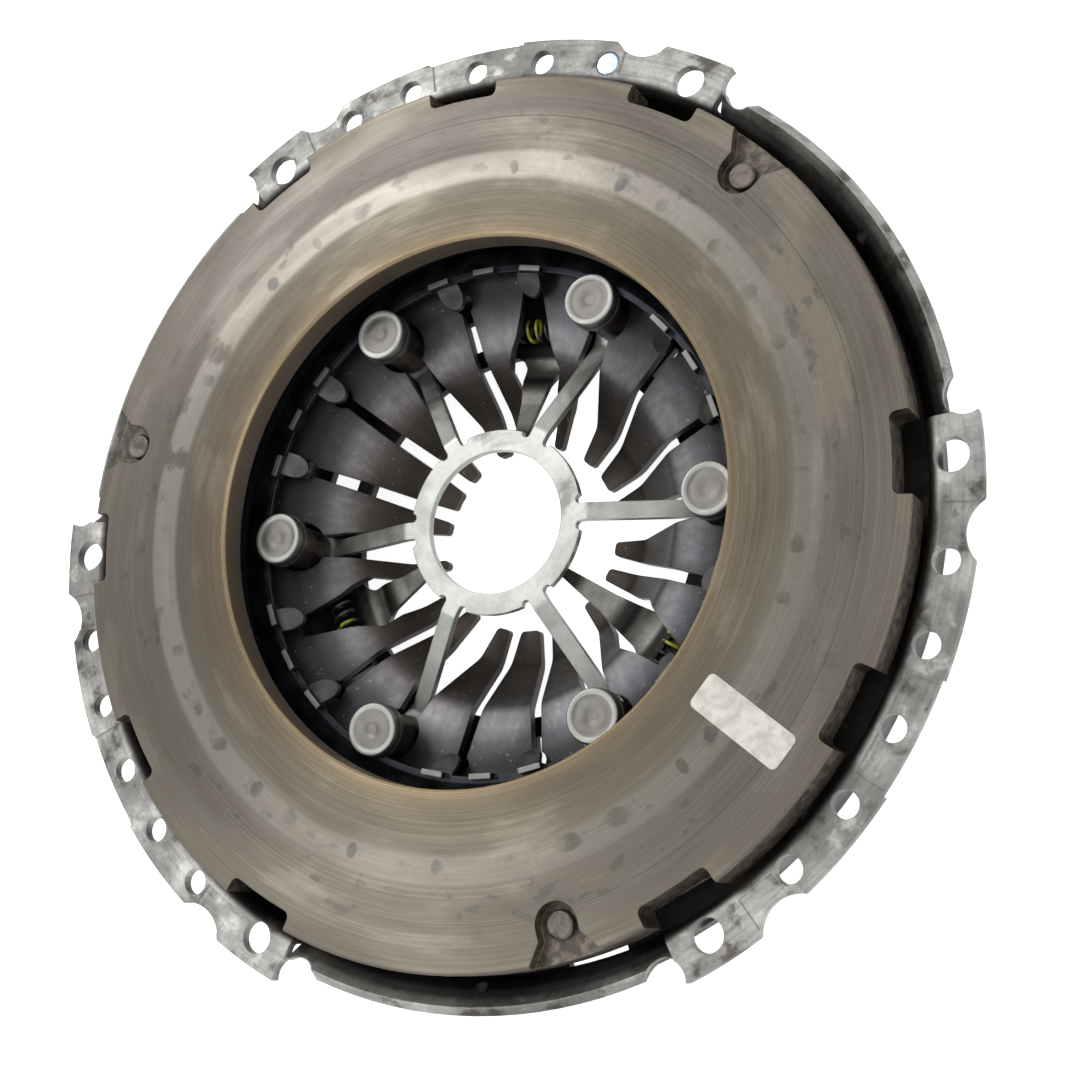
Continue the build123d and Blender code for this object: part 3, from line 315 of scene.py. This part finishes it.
# Cast iron of the friction ring: turned and worn face, sooty sides and brown bore
def friction_iron():
    f = Finish("friction_iron", metallic=0.85, turned=0.85)
    radius = f.radius()
    height = f.height()
    face = f.zones(
        radius,
        (RING_BORE_R, (176, 156, 122)),
        (78.7, (150, 132, 102)),
        (79.0, (112, 99, 79)),
        (84.0, (98, 90, 76)),
        (91.0, (98, 92, 80)),
        (95.5, (101, 96, 87)),
        (103.0, (101, 96, 88)),
        (106.5, (100, 95, 86)),
        (116.0, (101, 96, 87)),
        (RING_R, (105, 99, 89)),
    )
    # Smears that run round the ring, and turning grooves
    smear = f.polar_noise(0.10, 2.4, detail=4.0)
    face = f.stain(face, f.span(smear, 0.52, 0.70, 0.0, 0.35), (84, 78, 72))
    face = f.stain(face, f.span(smear, 0.32, 0.46, 0.22, 0.0), (160, 150, 136))
    lines = f.polar_noise(2.6, 0.9)
    wide_lines = f.polar_noise(0.85, 0.6, start=7.0)
    face = f.stain(face, f.span(lines, 0.36, 0.58, 0.13, 0.0), (66, 60, 54))
    face = f.stain(face, f.span(lines, 0.52, 0.66, 0.0, 0.06), (190, 180, 166))
    face = f.stain(face, f.span(wide_lines, 0.36, 0.58, 0.12, 0.0), (84, 78, 70))
    # Burnished band where the lining wore hardest, with two ragged breaks in it
    wander = f.math("MULTIPLY_ADD", f.polar_noise(0.4, 22.0, detail=2.0), 5.0, -2.5)
    first_break, second_break = [f.off(place) for place in WORN_BAND_BREAKS]
    to_break = f.math("ADD", f.math("MINIMUM", first_break, second_break), wander)
    burnish_and_highlight = f.both(f.span(to_break, 0.8, 2.4), f.band(radius, *WORN_BAND, 0.9))
    # Stronger on the lit side round 95 degrees: a painted highlight over the real burnish
    burnish_and_highlight = f.both(burnish_and_highlight, f.facing(95.0, 70.0, 115.0, 1.0, 0.35))
    face = f.stain(face, f.both(burnish_and_highlight, 0.45), (160, 155, 146))
    # Dark blots at a steady pace along the band, some strong and some faint
    stray = f.math("MULTIPLY_ADD", f.polar_noise(0.02, 5.0, detail=1.0, start=11.0), 12.0, -6.0)
    along = f.math("ADD", f.degrees_from(BLOT_START, BLOT_PITCH), stray)
    along = f.math("DIVIDE", along, BLOT_HALF_LENGTH)
    across = f.math("MULTIPLY_ADD", radius, 1 / BLOT_HALF_WIDTH, -BLOT_R / BLOT_HALF_WIDTH)
    away = f.math("MULTIPLY_ADD", along, along, f.both(across, across))
    away = f.math("MULTIPLY_ADD", f.noise(230.0, detail=3.0), 2.6, away)
    strong = f.span(f.polar_noise(0.02, 7.0, detail=1.0, start=5.0), 0.42, 0.60, 0.0, 0.65)
    face = f.stain(face, f.both(f.span(away, 1.7, 2.5, 1.0, 0.0), strong), (70, 67, 67))
    # Dark heat spots
    spots = f.span(f.polar_noise(0.19, 12.0, detail=2.0), 0.60, 0.66)
    spots = f.both(spots, f.band(radius, 98.0, 116.0, 4.0))
    face = f.stain(face, f.both(spots, 0.40), (68, 65, 68))
    # Lighter reddish grey on one side: partly heat tint, partly painted highlight
    heat_tint_and_highlight = f.both(f.facing(105.0, 25.0, 75.0, 1.0, 0.0), f.band(radius, 106.0, 122.0, 5.0))
    face = f.stain(face, f.both(heat_tint_and_highlight, 0.30), (122, 114, 114))
    # Scored groove near the rim
    score = f.both(f.band(radius, *SCORE_BAND, 0.2), f.facing(350.0, 60.0, 110.0, 1.0, 0.2))
    face = f.stain(face, f.both(score, 0.6), (58, 54, 50))
    # Sooty cast sides and back, and the brown bore
    cast = f.noise(420.0, detail=6.0)
    side = f.shades(f.span(cast, 0.35, 0.7), (64, 58, 53), (118, 108, 96))
    bore = f.zones(
        height,
        (FACE_Z - 12.0, (74, 73, 75)),
        (FACE_Z - 8.0, (94, 84, 75)),
        (FACE_Z - 4.0, (98, 84, 70)),
        (FACE_Z - 1.4, (104, 90, 72)),
        (FACE_Z - 0.4, (150, 130, 98)),
    )
    side = f.blend(f.band(radius, 60.0, RING_BORE_R + 0.4, 0.2), side, bore)
    colour = f.blend(f.span(height, *FACE_EDGE), side, face)
    grit = f.noise(2600.0, detail=3.0)
    colour = f.stain(colour, f.span(grit, 0.3, 0.7, 0.12, 0.0), (60, 54, 48))
    # Lighter rounded edges: partly wear, partly painted highlight
    worn_edge_and_highlight, rounded = f.edges(0.4)
    colour = f.stain(colour, f.both(worn_edge_and_highlight, 0.5), (186, 172, 146))
    # The worn band is the smoothest, and the sides are dull
    smoothed = f.both(f.band(radius, 95.0, 104.0, 2.0), 0.05)
    rough = f.math("SUBTRACT", f.span(smear, 0.3, 0.7, 0.36, 0.46), smoothed)
    f.feed(f.shader.inputs["Metallic"], f.span(height, *FACE_EDGE, 0.40, 0.85))
    grooves = f.relief(lines, 0.20, 0.04, rounded)
    pits = f.relief(cast, 0.14, 0.2, grooves)
    return f.finish(colour, rough, pits)


# Drawn sheet of the cover: flange bright with wear, and a dark bowl that is partly burnt and oily and
# partly painted shade
def cover_sheet():
    f = Finish("cover_sheet", metallic=0.85)
    radius = f.radius()
    height = f.height()
    cloud = f.noise(30.0, detail=6.0, roughness=0.62)
    patch = f.noise(95.0, detail=5.0, roughness=0.6)
    streaks = f.polar_noise(0.9, 8.0)
    fine = f.noise(900.0, detail=4.0)
    bright = f.shades(f.span(cloud, 0.40, 0.62), (126, 125, 122), (176, 175, 171))
    bright = f.stain(bright, f.span(streaks, 0.36, 0.56, 0.28, 0.0), (92, 88, 82))
    bright = f.stain(bright, f.span(patch, 0.54, 0.66, 0.0, 0.75), (66, 60, 54))
    # Light patches on the flange: partly bare steel, partly painted highlight
    bright = f.stain(bright, f.span(patch, 0.32, 0.44, 0.55, 0.0), (204, 203, 199))
    dark = f.shades(f.span(cloud, 0.36, 0.64), (34, 32, 33), (66, 62, 59))
    dark = f.stain(dark, f.span(patch, 0.55, 0.70, 0.0, 0.45), (100, 92, 82))
    # Bright outside the bowl, and darker down the wall and inside the bowl: partly burnt and oily
    # sheet, partly painted shade
    outside = f.span(radius, 128.6, 131.0)
    wall = f.both(outside, f.span(height, -12.0, -6.0, 0.25, 1.0))
    flange = f.span(height, -4.8, -3.0, 0.35, 1.0)
    colour = f.blend(f.both(flange, wall), dark, bright)
    # Centre arms, with painted highlights along the tops of their bends
    crest_highlights = f.math("MAXIMUM", f.band(radius, 47.5, 54.0, 1.2), f.band(radius, 30.0, 42.0, 2.0))
    crest_highlight_steel = f.shades(f.span(patch, 0.4, 0.6), (120, 120, 114), (146, 145, 139))
    arm_steel = f.blend(crest_highlights, screen((46, 44, 42)), crest_highlight_steel)
    colour = f.blend(f.span(radius, 53.0, 55.0, 1.0, 0.0), colour, arm_steel)
    colour = f.stain(colour, f.span(fine, 0.30, 0.70, 0.16, 0.0), (50, 46, 42))
    # Lighter rounded edges outside the bowl: partly wear, partly painted highlight
    worn_edge_and_highlight, rounded = f.edges(0.6)
    colour = f.stain(colour, f.both(f.both(worn_edge_and_highlight, outside), 0.6), (186, 184, 180))
    normal = f.relief(fine, 0.15, 0.2, rounded)
    normal = f.relief(patch, 0.12, 0.8, normal)
    return f.finish(colour, f.span(patch, 0.3, 0.7, 0.46, 0.60), normal)


# Tempered steel of the fingers: brown tips, a grey band at the knee that is a painted highlight, and
# painted shadow of the ring taking it near black towards the rim
def tempered_spring():
    f = Finish("tempered_spring", metallic=0.8)
    radius = f.radius()
    cloud = f.noise(34.0, detail=5.0)
    streak = f.polar_noise(0.25, 26.0)
    colour = f.zones(
        radius,
        (26.0, (72, 65, 59)),
        (34.0, (64, 57, 51)),
        (43.0, (54, 48, 43)),
        (49.0, (66, 60, 56)),
        (54.5, (108, 105, 104)),
        (58.5, (113, 111, 113)),
        (63.0, (72, 71, 73)),
        (69.0, (42, 41, 44)),
        (80.0, (30, 30, 33)),
    )
    # The grey band is lighter on one side: painted light
    lit_side_highlight = f.both(f.facing(330.0, 50.0, 130.0, 0.25, 0.0), f.band(radius, 49.0, 66.0, 3.0))
    colour = f.stain(colour, lit_side_highlight, (104, 105, 112))
    colour = f.stain(colour, f.span(cloud, 0.52, 0.68, 0.0, 0.45), (46, 41, 39))
    colour = f.stain(colour, f.span(streak, 0.40, 0.66, 0.25, 0.0), (44, 42, 45))
    # Each finger is darker towards its sides: painted shade of its crowned back
    off_middle = f.off(0.0, FINGER_PITCH)
    colour = f.stain(colour, f.span(off_middle, 4.0, 9.0, 0.0, 0.35), (40, 36, 35))
    specks = f.noise(700.0, detail=2.0)
    colour = f.stain(colour, f.span(specks, 0.68, 0.74, 0.0, 0.35), (150, 146, 142))
    # Lighter rounded edges: partly wear, partly painted highlight
    worn_edge_and_highlight, rounded = f.edges(0.4)
    colour = f.stain(colour, f.both(worn_edge_and_highlight, 0.35), (138, 136, 138))
    normal = f.relief(f.noise(1500.0, detail=3.0), 0.06, 0.1, rounded)
    return f.finish(colour, f.span(cloud, 0.3, 0.7, 0.40, 0.52), normal)


# Dark oiled steel of the sensor ring, rubbed grey on its tongues, with a painted highlight on top of
# its tabs
def sensor_steel():
    f = Finish("sensor_steel", metallic=0.75)
    cloud = f.noise(120.0, detail=5.0)
    colour = f.shades(f.span(cloud, 0.35, 0.65), (24, 27, 33), (50, 52, 57))
    tongues = f.both(f.span(f.radius(), 71.0, 73.0, 1.0, 0.0), f.span(cloud, 0.35, 0.65, 0.35, 1.0))
    colour = f.stain(colour, tongues, (92, 90, 87))
    # Lighter on top of the tabs: painted highlight
    tab_top_highlight = f.span(f.height(), -6.6, -5.7)
    colour = f.stain(colour, f.both(tab_top_highlight, 0.9), (120, 119, 116))
    # Lighter rounded edges: partly wear, partly painted highlight
    worn_edge_and_highlight, rounded = f.edges(0.4)
    colour = f.stain(colour, f.both(worn_edge_and_highlight, 0.35), (126, 124, 120))
    return f.finish(colour, f.span(cloud, 0.3, 0.7, 0.30, 0.48), f.relief(cloud, 0.12, 0.3, rounded))


# Satin steel, clouded between a light and a dark shade, and paler along its edges from wear and a
# painted highlight
def satin_steel(name, light, dark, roughness, scale=70.0):
    f = Finish(name, metallic=0.85)
    cloud = f.noise(scale, detail=6.0, roughness=0.6)
    fine = f.noise(scale * 14, detail=3.0)
    colour = f.shades(f.span(cloud, 0.36, 0.64), dark, light)
    colour = f.stain(colour, f.span(fine, 0.30, 0.70, 0.14, 0.0), (46, 42, 40))
    worn_edge_and_highlight, rounded = f.edges(0.4)
    paler = [min(255, tone + 34) for tone in light]
    colour = f.stain(colour, f.both(worn_edge_and_highlight, 0.3), paler)
    rough = f.span(cloud, 0.3, 0.7, roughness - 0.06, roughness + 0.08)
    return f.finish(colour, rough, f.relief(fine, 0.12, 0.15, rounded))


# Travel stop: light satin steel with dark oily smudges
def stop_steel():
    f = Finish("stop_steel", metallic=0.85)
    cloud = f.noise(60.0, detail=6.0, roughness=0.6)
    smudge = f.noise(38.0, detail=4.0, distortion=0.8)
    fine = f.noise(900.0, detail=3.0)
    colour = f.shades(f.span(cloud, 0.36, 0.64), (158, 160, 155), (186, 188, 183))
    oily = f.both(f.span(smudge, 0.50, 0.62, 0.0, 0.6), f.facing(30.0, 60.0, 130.0, 1.0, 0.25))
    colour = f.stain(colour, oily, (74, 70, 68))
    colour = f.stain(colour, f.span(f.height(), -21.0, -16.6, 0.20, 0.0), (110, 109, 105))
    colour = f.stain(colour, f.span(fine, 0.30, 0.70, 0.10, 0.0), (60, 56, 54))
    # Lighter rounded edges: partly wear, partly painted highlight
    worn_edge_and_highlight, rounded = f.edges(0.5)
    colour = f.stain(colour, f.both(worn_edge_and_highlight, 0.45), (204, 203, 200))
    return f.finish(colour, f.span(cloud, 0.3, 0.7, 0.34, 0.46), f.relief(fine, 0.10, 0.15, rounded))


# Turned bolt steel: light rim, grey dish, and dark brown down the shank
def bolt_steel():
    f = Finish("bolt_steel", metallic=0.75)
    height = f.height()
    cloud = f.noise(160.0, detail=5.0)
    fine = f.noise(1800.0, detail=3.0)
    dish = f.shades(f.span(cloud, 0.36, 0.64), (108, 106, 103), (128, 126, 122))
    colour = f.stain(dish, f.span(height, -4.92, -4.76), (158, 157, 153))
    # Painted shade down the side of the head
    side = f.span(height, -7.6, -5.2, 1.0, 0.0)
    colour = f.stain(colour, f.both(side, 0.85), (60, 57, 54))
    shank_steel = f.shades(f.span(cloud, 0.4, 0.6), (42, 36, 32), (74, 65, 58))
    colour = f.blend(f.span(height, -8.4, -7.9, 1.0, 0.0), colour, shank_steel)
    colour = f.stain(colour, f.span(fine, 0.3, 0.7, 0.12, 0.0), (70, 64, 60))
    return f.finish(colour, f.span(cloud, 0.3, 0.7, 0.38, 0.52), f.relief(fine, 0.15, 0.1))


# Dark spring wire with yellow-green paint over the middle coils
def painted_wire():
    f = Finish("painted_wire", metallic=0.5)
    cloud = f.noise(300.0, detail=4.0)
    wire = f.shades(f.span(cloud, 0.35, 0.65), (40, 38, 38), (86, 82, 78))
    middle_coils = f.band(f.degrees_from(53.7, 120.0), -1.5, 1.5, 0.4)
    painted = f.both(middle_coils, f.span(f.noise(420.0, detail=2.0), 0.30, 0.42))
    paint = f.shades(f.span(cloud, 0.4, 0.62), (150, 158, 32), (208, 216, 60))
    colour = f.blend(painted, wire, paint)
    f.feed(f.shader.inputs["Metallic"], f.span(painted, 0.0, 1.0, 0.6, 0.0))
    return f.finish(colour, f.span(cloud, 0.3, 0.7, 0.35, 0.5), f.relief(cloud, 0.1, 0.1))


# Silver foil, creased
def creased_foil():
    f = Finish("creased_foil", metallic=0.25)
    crease = f.noise(240.0, detail=5.0, roughness=0.65, distortion=0.6)
    grime = f.noise(120.0, detail=4.0)
    colour = f.shades(f.span(crease, 0.35, 0.65), (198, 194, 185), (222, 219, 210))
    colour = f.stain(colour, f.span(grime, 0.56, 0.72, 0.0, 0.5), (158, 150, 134))
    return f.finish(colour, f.span(crease, 0.3, 0.7, 0.3, 0.5), f.relief(crease, 0.35, 0.4))


def dress(nodes, material):
    """Gives nodes of the frame a material."""
    for name in nodes:
        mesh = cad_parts[name].data
        mesh.materials.clear()
        mesh.materials.append(material)


def object_of(name, shape, material):
    """Object in the scene made from a finished shape."""
    mesh = bpy.data.meshes.new(name)
    shape.to_mesh(mesh)
    shape.free()
    mesh.materials.append(material)
    made = bpy.data.objects.new(name, mesh)
    bpy.context.scene.collection.objects.link(made)
    return made


def finished_piece(name, shape, material, body, nodes):
    """Object that rides on a body and stands for nodes of the frame."""
    piece = object_of(name, shape, material)
    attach(piece, body)
    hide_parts(*nodes)
    return piece


def weld(shape):
    """Joins points that lie in one place."""
    bmesh.ops.remove_doubles(shape, verts=shape.verts, dist=WELD_GAP)


def joined_copy(*nodes):
    """Closed copy of the meshes of nodes of the frame."""
    shape = bmesh.new()
    for node in nodes:
        shape.from_mesh(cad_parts[node].data)
    weld(shape)
    return shape


def cut_through(shape, place, across):
    """New edges where a plane crosses the shape, which stays whole."""
    everything = shape.verts[:] + shape.edges[:] + shape.faces[:]
    bmesh.ops.bisect_plane(shape, geom=everything, plane_co=place, plane_no=across)


def smooth_up_to(shape, sharpest):
    """Smooth shading, with hard edges where two faces meet at more than the angle in degrees."""
    for face in shape.faces:
        face.smooth = True
    for edge in shape.edges:
        edge.smooth = len(edge.link_faces) == 2 and edge.calc_face_angle(0.0) < radians(sharpest)


# Fingers with a slightly crowned back
def crowned_diaphragm(material):
    shape = joined_copy("diaphragm_spring")
    for step in range(int(180 / CUT_STEP)):
        turn = radians(CUT_STEP * step + CUT_START)
        cut_through(shape, (0, 0, 0), (-sin(turn), cos(turn), 0))
    for level in CUT_LEVELS:
        cut_through(shape, (0, 0, level * MM), (0, 0, 1))
    weld(shape)
    for vert in shape.verts:
        place = Vector((vert.co.x, vert.co.y))
        degrees_round = place.angle_signed(Vector((1, 0))) * 180 / pi
        off_middle = (degrees_round + FINGER_PITCH / 2) % FINGER_PITCH - FINGER_PITCH / 2
        share = (CROWN_START_R * MM - place.length) / ((CROWN_START_R - CROWN_FULL_R) * MM)
        share = min(1.0, max(0.0, share))
        vert.co.z += FINGER_CROWN * MM * share * (1 - (2 * off_middle / FINGER_PITCH) ** 2)
    smooth_up_to(shape, SHEET_SMOOTH)
    piece = finished_piece("fingers", shape, material, "diaphragm", ["diaphragm_spring"])
    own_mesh(piece)


# Packs of leaf straps
def strap_pack(number, material):
    leaves = [f"strap_{number}_leaf_{m}" for m in (1, 2, 3)]
    shape = joined_copy(*leaves)
    smooth_up_to(shape, SHEET_SMOOTH)
    piece = finished_piece(f"strap_pack_{number}", shape, material, "cover", leaves)
    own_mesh(piece)


# Adjuster springs
def adjuster_coil(number, material):
    node = COIL_NODES[number - 1]
    shape = joined_copy(node)
    smooth_up_to(shape, COIL_SMOOTH)
    piece = finished_piece(f"adjuster_coil_{number}", shape, material, "cover", [node])
    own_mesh(piece)


# Step bolts, turned from the riveted tail up to a head with a rim, a dish and a dimple
def step_bolt(node, material):
    low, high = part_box(node)
    top = high.z / MM
    bottom = low.z / MM
    under_head = top - BOLT_HEAD_DEPTH
    profile = [
        (0.0, bottom),
        (TAIL_HEAD_R - 1.0, bottom),
        (TAIL_HEAD_R - 0.3, bottom + 0.35),
        (TAIL_HEAD_R, bottom + 1.0),
        (TAIL_HEAD_R, bottom + TAIL_HEAD_HEIGHT),
        (TAIL_R, bottom + TAIL_HEAD_HEIGHT),
        (TAIL_R, SHANK_END_Z),
        (SHANK_R - SHANK_EDGE, SHANK_END_Z),
        (SHANK_R, SHANK_END_Z + SHANK_EDGE),
        (SHANK_R, under_head),
        (BOLT_HEAD_R - BOLT_EDGE, under_head),
        (BOLT_HEAD_R, under_head + BOLT_EDGE),
    ]
    profile += [(BOLT_HEAD_R - inward, top - down) for inward, down in HEAD_RIM]
    profile += [(BOLT_HEAD_R * share, top - down) for share, down in HEAD_DISH]
    shape = bmesh.new()
    corners = [shape.verts.new((radius * MM, 0, z * MM)) for radius, z in profile]
    line = [shape.edges.new(pair) for pair in zip(corners, corners[1:])]
    bmesh.ops.spin(
        shape,
        geom=corners + line,
        cent=(0, 0, 0),
        axis=(0, 0, 1),
        angle=2 * pi,
        steps=BOLT_SIDES,
        use_merge=True,
    )
    weld(shape)
    bmesh.ops.recalc_face_normals(shape, faces=shape.faces)
    centre = (low + high) / 2
    bmesh.ops.translate(shape, verts=shape.verts, vec=(centre.x, centre.y, 0))
    smooth_up_to(shape, BOLT_SMOOTH)
    finished_piece(f"turned_{node}", shape, material, "cover", [node])


def seen_by_eye_and_metal(tree):
    """One for the camera, for mirrors and through glass, and nought for light on the object."""
    path = tree.nodes.new("ShaderNodeLightPath")
    seen = path.outputs["Is Camera Ray"]
    for ray in ("Is Glossy Ray", "Is Transmission Ray"):
        either = tree.nodes.new("ShaderNodeMath")
        either.operation = "MAXIMUM"
        tree.links.new(seen, either.inputs[0])
        tree.links.new(path.outputs[ray], either.inputs[1])
        seen = either.outputs[0]
    return seen


def glow_where_seen(tree, socket, light, more):
    """Strength of a glow: a light for the object, and more of it where it is seen."""
    strength = tree.nodes.new("ShaderNodeMath")
    strength.operation = "MULTIPLY_ADD"
    strength.inputs[1].default_value = more
    strength.inputs[2].default_value = light
    tree.links.new(seen_by_eye_and_metal(tree), strength.inputs[0])
    tree.links.new(strength.outputs[0], socket)


# A pale floor that is seen as white, and that still takes a shadow
def floor():
    material = bpy.data.materials.new("pale_floor")
    material.use_nodes = True
    matte = material.node_tree.nodes["Principled BSDF"]
    matte.inputs["Base Color"].default_value = (FLOOR_TONE, FLOOR_TONE, FLOOR_TONE, 1.0)
    matte.inputs["Roughness"].default_value = 0.9
    matte.inputs["Specular IOR Level"].default_value = 0.1
    matte.inputs["Emission Color"].default_value = WHITE
    glow_where_seen(material.node_tree, matte.inputs["Emission Strength"], 0.0, FLOOR_GLOW)
    shape = bmesh.new()
    bmesh.ops.create_grid(shape, x_segments=1, y_segments=1, size=FLOOR_REACH)
    bmesh.ops.translate(shape, verts=shape.verts, vec=(0, 0, REST_Z - FLOOR_GAP))
    object_of("floor", shape, material)


def daylight():
    """Even light from all round that is seen as white."""
    world = bpy.data.worlds.new("studio")
    bpy.context.scene.world = world
    world.use_nodes = True
    backdrop = world.node_tree.nodes["Background"]
    backdrop.inputs["Color"].default_value = WHITE
    glow_where_seen(world.node_tree, backdrop.inputs["Strength"], DAYLIGHT, 1.0 - DAYLIGHT)


def soft_light(name, place, size, power):
    """Round lamp that shines on the middle of the object."""
    data = bpy.data.lights.new(name, "AREA")
    data.shape = "DISK"
    data.size = size
    data.energy = power
    lamp = bpy.data.objects.new(name, data)
    lamp.location = place
    lamp.rotation_euler = Vector(place).to_track_quat("Z", "Y").to_euler()
    bpy.context.scene.collection.objects.link(lamp)


def camera():
    data = bpy.data.cameras.new("photo_camera")
    data.sensor_width = CAMERA_SENSOR
    data.lens = CAMERA_LENS
    view = bpy.data.objects.new("photo_camera", data)
    view.location = CAMERA_PLACE
    view.rotation_euler = Euler([radians(turn) for turn in CAMERA_TURN], "XYZ")
    bpy.context.scene.collection.objects.link(view)
    bpy.context.scene.camera = view


# Finishes of the pieces that keep the frame's shapes
dress(["pressure_plate"], friction_iron())
dress(["cover_housing"], cover_sheet())
dress(["sensor_spring"], sensor_steel())
dress(["adjuster_ring"], satin_steel("adjuster_steel", (84, 80, 76), (44, 42, 42), 0.42))
dress(["travel_stop"], stop_steel())
dress(PLATE_RIVET_NODES, satin_steel("plate_rivet_steel", (112, 106, 98), (72, 66, 58), 0.42, 260.0))
dress(COVER_RIVET_NODES, satin_steel("cover_rivet_steel", (124, 118, 112), (84, 78, 72), 0.42, 260.0))
dress(["balance_rivet"], satin_steel("plug_steel", (196, 212, 224), (150, 168, 182), 0.20, 200.0))
dress(["blank_label"], creased_foil())

# Pieces with a shape of their own
crowned_diaphragm(tempered_spring())
strap_material = satin_steel("strap_steel", (196, 194, 190), (120, 116, 112), 0.28, 90.0)
coil_material = painted_wire()
for pack_number in (1, 2, 3):
    strap_pack(pack_number, strap_material)
    adjuster_coil(pack_number, coil_material)
bolt_material = bolt_steel()
for bolt_node in BOLT_NODES:
    step_bolt(bolt_node, bolt_material)

# Floor, light and camera
floor()
daylight()
for lamp_name, lamp_place, lamp_size, lamp_power in LAMPS:
    soft_light(lamp_name, lamp_place, lamp_size, lamp_power)
camera()
bpy.context.scene.view_settings.view_transform = "Standard"
